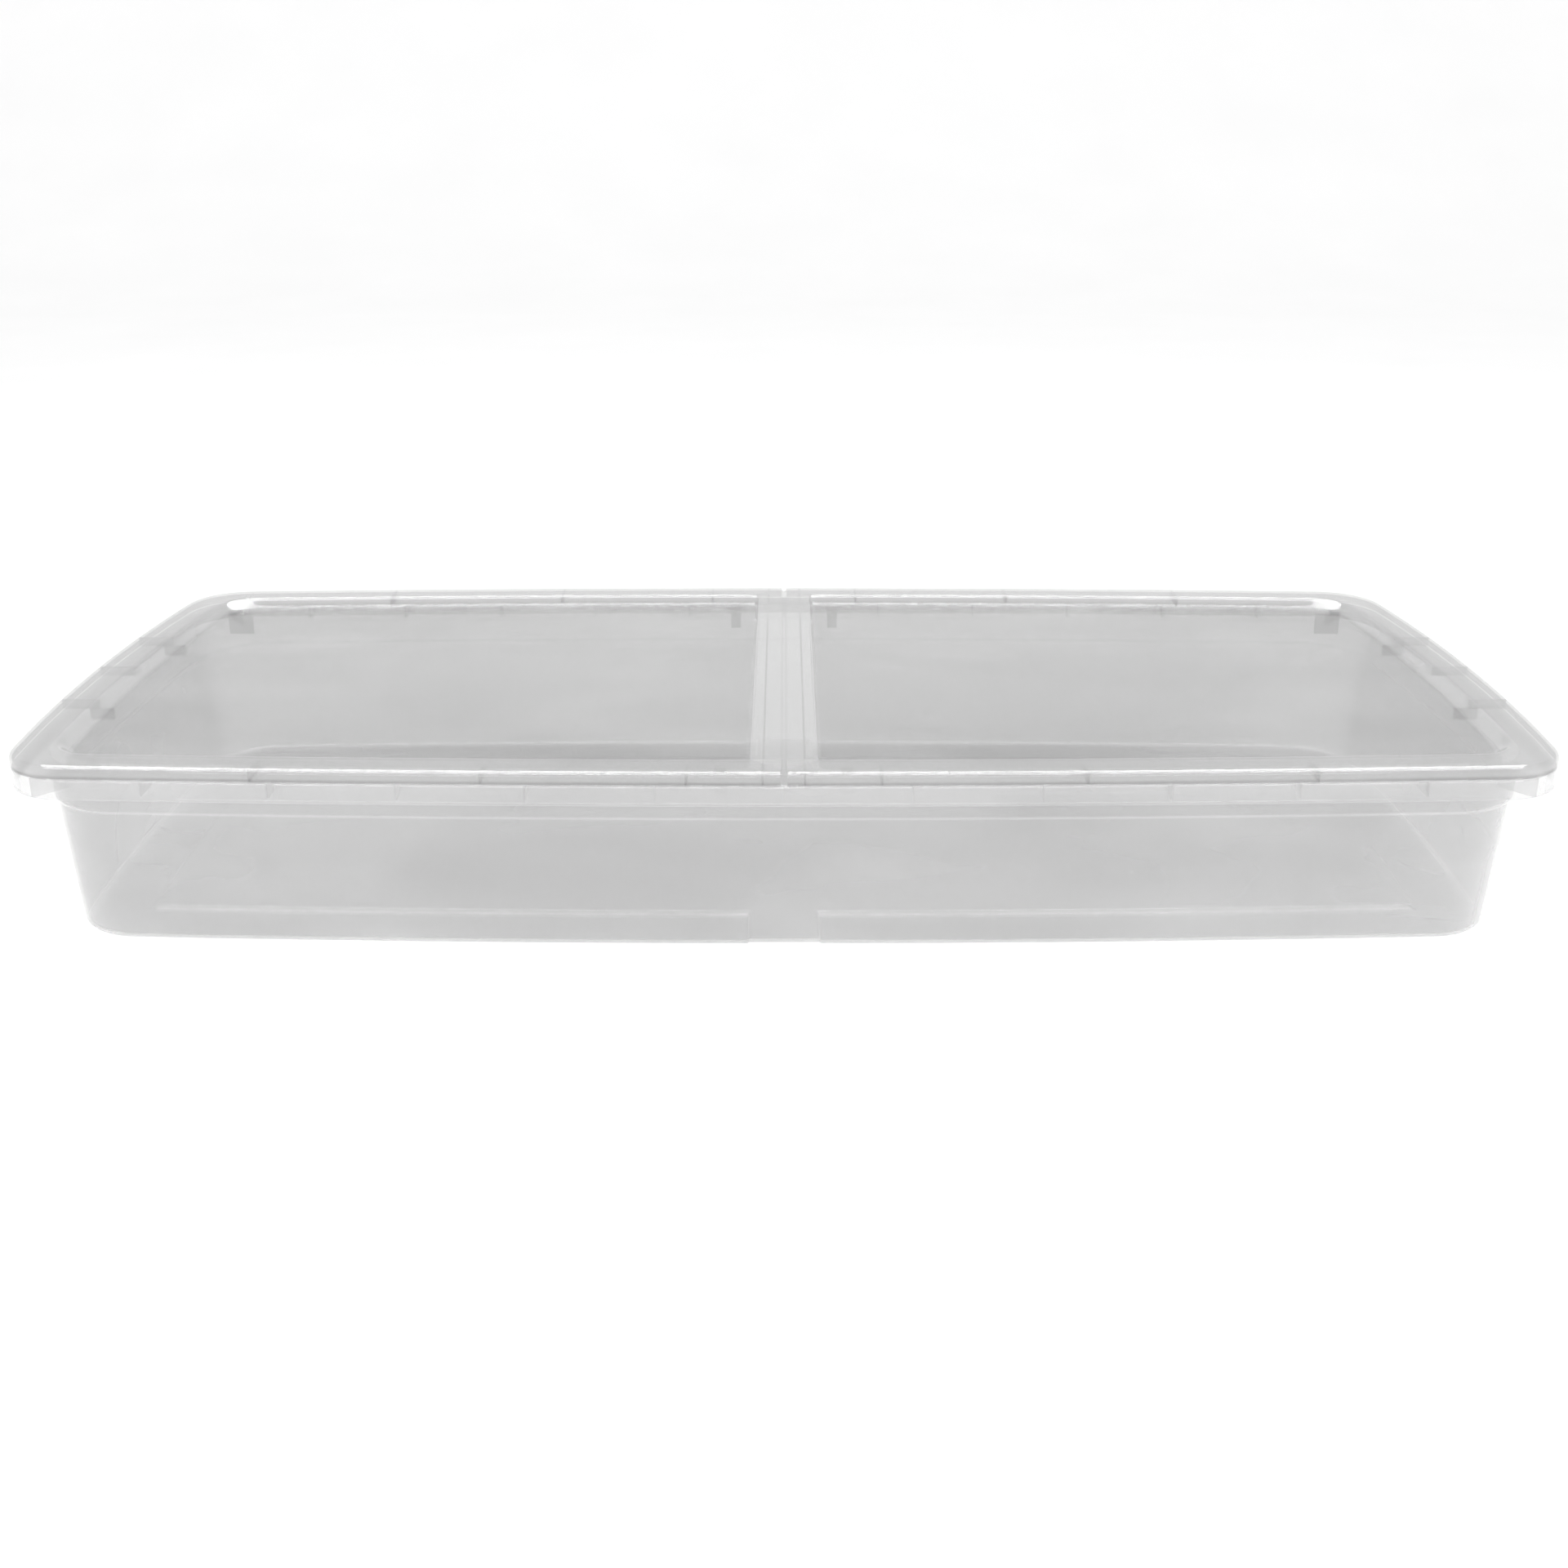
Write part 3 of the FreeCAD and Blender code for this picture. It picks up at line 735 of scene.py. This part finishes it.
def clear_plastic(name, greys, thin, dense, painted_light_heights):
    """Natural translucent polypropylene: milky, glossy, with cloudy patches and fine wear.

    greys holds the greys of the dark clouds, the light clouds and the painted light: a lighter grey
    painted where rims, ledge and floor step catch light and where lugs lie in shade. thin and dense are
    the shares of plastic over what lies behind it, seen square on and seen edge on. The last argument
    holds pairs of a height in millimetres and a share of painted light, from 0 for plain wall to 1
    where the grey is painted lighter and the film denser.
    """
    # The third grey is painted light, for the heights that catch light or lie in shade.
    dark, light, rim = [(grey, grey, grey, 1) for grey in greys]
    nodes = Nodes(name)
    shader = nodes.shader
    cloud = nodes.noise(6.0, detail=3.0, rough=0.45, stretch=(0.9, 1.4, 2.5), distortion=0.5)
    grain = nodes.noise(900.0, detail=2.0)
    scuffs = nodes.noise(60.0, detail=6.0, rough=0.7, stretch=(1.0, 9.0, 3.0))

    # Share of painted light by height: 1 at the heights given, such as rims, ledge, floor step and lugs, and
    # 0 on plain wall and panel.
    painted_light_share = nodes.heights(painted_light_heights)
    ramp = nodes.add("ShaderNodeValToRGB")
    ramp.color_ramp.elements[0].position = 0.36
    ramp.color_ramp.elements[0].color = dark
    ramp.color_ramp.elements[1].position = 0.66
    ramp.color_ramp.elements[1].color = light
    nodes.link(cloud, ramp.inputs["Fac"])
    cloud_and_painted_light = nodes.add("ShaderNodeMix", data_type="RGBA")
    cloud_and_painted_light.inputs[7].default_value = rim
    nodes.link(painted_light_share, cloud_and_painted_light.inputs[0])
    nodes.link(ramp.outputs["Color"], cloud_and_painted_light.inputs[6])
    nodes.link(cloud_and_painted_light.outputs[2], shader.inputs["Base Color"])

    worn = nodes.remap(scuffs, 0.45, 0.75, 0.07, 0.13)
    speckle = nodes.remap(grain, 0.3, 0.7, 0.0, 0.02)
    nodes.link(nodes.maths("ADD", worn, speckle), shader.inputs["Roughness"])
    shader.inputs["IOR"].default_value = 1.5
    shader.inputs["Coat Weight"].default_value = 0.7
    shader.inputs["Coat Roughness"].default_value = 0.03

    ripple = nodes.add("ShaderNodeBump")
    ripple.inputs["Strength"].default_value = 0.06
    ripple.inputs["Distance"].default_value = 0.0001
    nodes.link(nodes.noise(110.0, detail=1.0), ripple.inputs["Height"])
    nodes.link(ripple.outputs["Normal"], shader.inputs["Normal"])

    clear = nodes.add("ShaderNodeBsdfTransparent")
    clear.inputs["Color"].default_value = (0.87, 0.87, 0.87, 1)
    facing = nodes.add("ShaderNodeLayerWeight")
    facing.inputs["Blend"].default_value = 0.22
    cover = nodes.remap(facing.outputs["Facing"], 0.0, 1.0, thin, dense)
    cloudy = nodes.maths("MULTIPLY", cover, nodes.remap(cloud, 0.3, 0.7, 0.93, 1.06))
    # The film is also made denser at these heights, as part of the same painted light.
    cover_and_painted_light = nodes.maths("ADD", cloudy, nodes.maths("MULTIPLY", painted_light_share, 0.06))
    film = nodes.mixed(cover_and_painted_light, clear, shader)

    # Shadow rays pass almost whole, so that light reaches the inside as in plastic that scatters it
    passing = nodes.add("ShaderNodeBsdfTransparent")
    passing.inputs["Color"].default_value = (0.99, 0.99, 0.99, 1)
    light_path = nodes.add("ShaderNodeLightPath")
    surface = nodes.mixed(light_path.outputs["Is Shadow Ray"], film, passing)
    nodes.link(surface.outputs[0], nodes.output.inputs["Surface"])
    return nodes.material


def studio_floor():
    nodes = Nodes("studio_floor")
    shade = nodes.noise(3.0, detail=2.0)
    ramp = nodes.add("ShaderNodeValToRGB")
    ramp.color_ramp.elements[0].color = (0.93, 0.93, 0.93, 1)
    ramp.color_ramp.elements[1].color = (0.97, 0.97, 0.97, 1)
    nodes.link(shade, ramp.inputs["Fac"])
    nodes.link(ramp.outputs["Color"], nodes.shader.inputs["Base Color"])
    nodes.shader.inputs["Roughness"].default_value = 0.7
    return nodes.material


# ---------------------------------------------------------------- stage, light and camera

# Camera of the photo, from a fit of the outline: its tilt, place in metres, and focal length over width
CAMERA_DOWN = math.radians(20.519)
CAMERA_BACK = 1.2402
CAMERA_HEIGHT = 0.5013
FOCAL_SHARE = 2169.25 / 1920.0
SENSOR = 36.0
FLOOR_LEVEL = -0.0008


def add_camera():
    data = bpy.data.cameras.new("camera")
    data.sensor_width = SENSOR
    data.lens = FOCAL_SHARE * SENSOR
    camera = bpy.data.objects.new("camera", data)
    camera.location = (0.0, -CAMERA_BACK, CAMERA_HEIGHT)
    camera.rotation_euler = (math.pi / 2 - CAMERA_DOWN, 0.0, 0.0)
    bpy.context.scene.collection.objects.link(camera)
    bpy.context.scene.camera = camera


def add_floor():
    """Pale sweep: a flat floor that curves up behind the object."""
    half = 7.0
    middle = -1.5
    back = 4.0
    radius = 2.5
    top = 6.0
    steps = 12
    section = [(-half, FLOOR_LEVEL), (middle, FLOOR_LEVEL), (back, FLOOR_LEVEL)]
    for step in range(1, steps + 1):
        angle = math.pi / 2 * step / steps
        section.append((back + radius * math.sin(angle), FLOOR_LEVEL + radius - radius * math.cos(angle)))
    section.append((back + radius, top))
    points = [(x, y, z) for y, z in section for x in (-half, half)]
    faces = [(2 * i, 2 * i + 1, 2 * i + 3, 2 * i + 2) for i in range(len(section) - 1)]
    mesh = bpy.data.meshes.new("floor")
    mesh.from_pydata(points, [], faces)
    for polygon in mesh.polygons:
        polygon.use_smooth = True
    mesh.materials.append(studio_floor())
    floor = bpy.data.objects.new("floor", mesh)
    bpy.context.scene.collection.objects.link(floor)


def add_light(name, place, target, size, power, gloss_only=False):
    """Soft rectangular light. One for gloss only adds reflections without washing out the plastic."""
    data = bpy.data.lights.new(name, "AREA")
    data.shape = "RECTANGLE"
    data.size, data.size_y = size
    data.energy = power
    light = bpy.data.objects.new(name, data)
    light.location = place
    light.rotation_euler = (Vector(target) - Vector(place)).to_track_quat("-Z", "Y").to_euler()
    light.visible_diffuse = not gloss_only
    bpy.context.scene.collection.objects.link(light)


def add_world():
    world = bpy.data.worlds.new("world")
    world.use_nodes = True
    background = world.node_tree.nodes["Background"]
    background.inputs["Color"].default_value = (1, 1, 1, 1)
    background.inputs["Strength"].default_value = 1.0
    bpy.context.scene.world = world


add_camera()
add_floor()
add_world()
add_light("overhead", (0.0, 0.45, 1.8), (0, 0.45, 0), (3.2, 1.9), 380, gloss_only=True)
add_light("front", (0.0, -2.4, 1.6), (0, 0, 0.1), (3.0, 1.0), 40)

bpy.context.scene.view_settings.view_transform = "Standard"
bpy.context.scene.cycles.transparent_max_bounces = 40

# Heights where clear_plastic paints light: a lighter grey and a denser film. These are painted highlights
# where edges catch light, and painted light on the lugs, which lie in shade. In the tray they are the step of
# the floor, the ledge, and the band and flange. In the lid they are all but the heights of the sunken panel.
tray_painted_light_heights = [
    (FLOOR_RISE + 0.1, 0.0),
    (FLOOR_RISE + 0.5, 1.0),
    (FLOOR_RISE + WALL - 0.5, 1.0),
    (FLOOR_RISE + WALL - 0.1, 0.0),
    (LEDGE_HEIGHT - 3.0, 0.0),
    (LEDGE_HEIGHT - 1.0, 1.0),
    (LEDGE_HEIGHT + 0.5, 0.0),
    (BAND_BOTTOM - 1.0, 0.0),
    (BAND_BOTTOM, 0.8),
    (FLANGE_TOP - 3.0, 0.7),
    (FLANGE_TOP - 1.0, 1.0),
]
panel_low = HEIGHT - PANEL_DEPTH - WALL
panel_high = HEIGHT - PANEL_DEPTH
lid_painted_light_heights = [
    (panel_low - 1.5, 1.0),
    (panel_low - 0.5, 0.0),
    (panel_high + 0.2, 0.0),
    (panel_high + 1.2, 1.0),
]
# Tray and lid are one plastic with different greys for light and shade. The tray's greys are painted lighter
# to offset the shade inside and under the box. The lid's are painted darker to offset the light falling on
# the top.
tray_plastic = clear_plastic("clear_tray_plastic", (0.69, 0.79, 0.8), 0.13, 0.9, tray_painted_light_heights)
lid_plastic = clear_plastic("clear_lid_plastic", (0.29, 0.42, 0.66), 0.12, 0.55, lid_painted_light_heights)

tray = make_tray().make("tray_shell", tray_plastic, "tray", "clear_tray")
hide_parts("tray")

half_lid = make_lid_half()
lid_right = half_lid.make("lid_right_shell", lid_plastic, "lid_right", "clear_lid")
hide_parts("lid_right")
lid_left = half_lid.mirrored().make("lid_left_shell", lid_plastic, "lid_left", "clear_lid")
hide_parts("lid_left")

web = hinge_web().make("hinge_web", lid_plastic, "hinge", "clear_lid")
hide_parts("living_hinge")
link = hinge_link()
sides = (("hinge_link_right", link, "lid_right", 1), ("hinge_link_left", link.mirrored(), "lid_left", -1))
for name, shell, body, side in sides:
    piece = shell.make(name, lid_plastic, None, "clear_lid")
    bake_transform(piece)
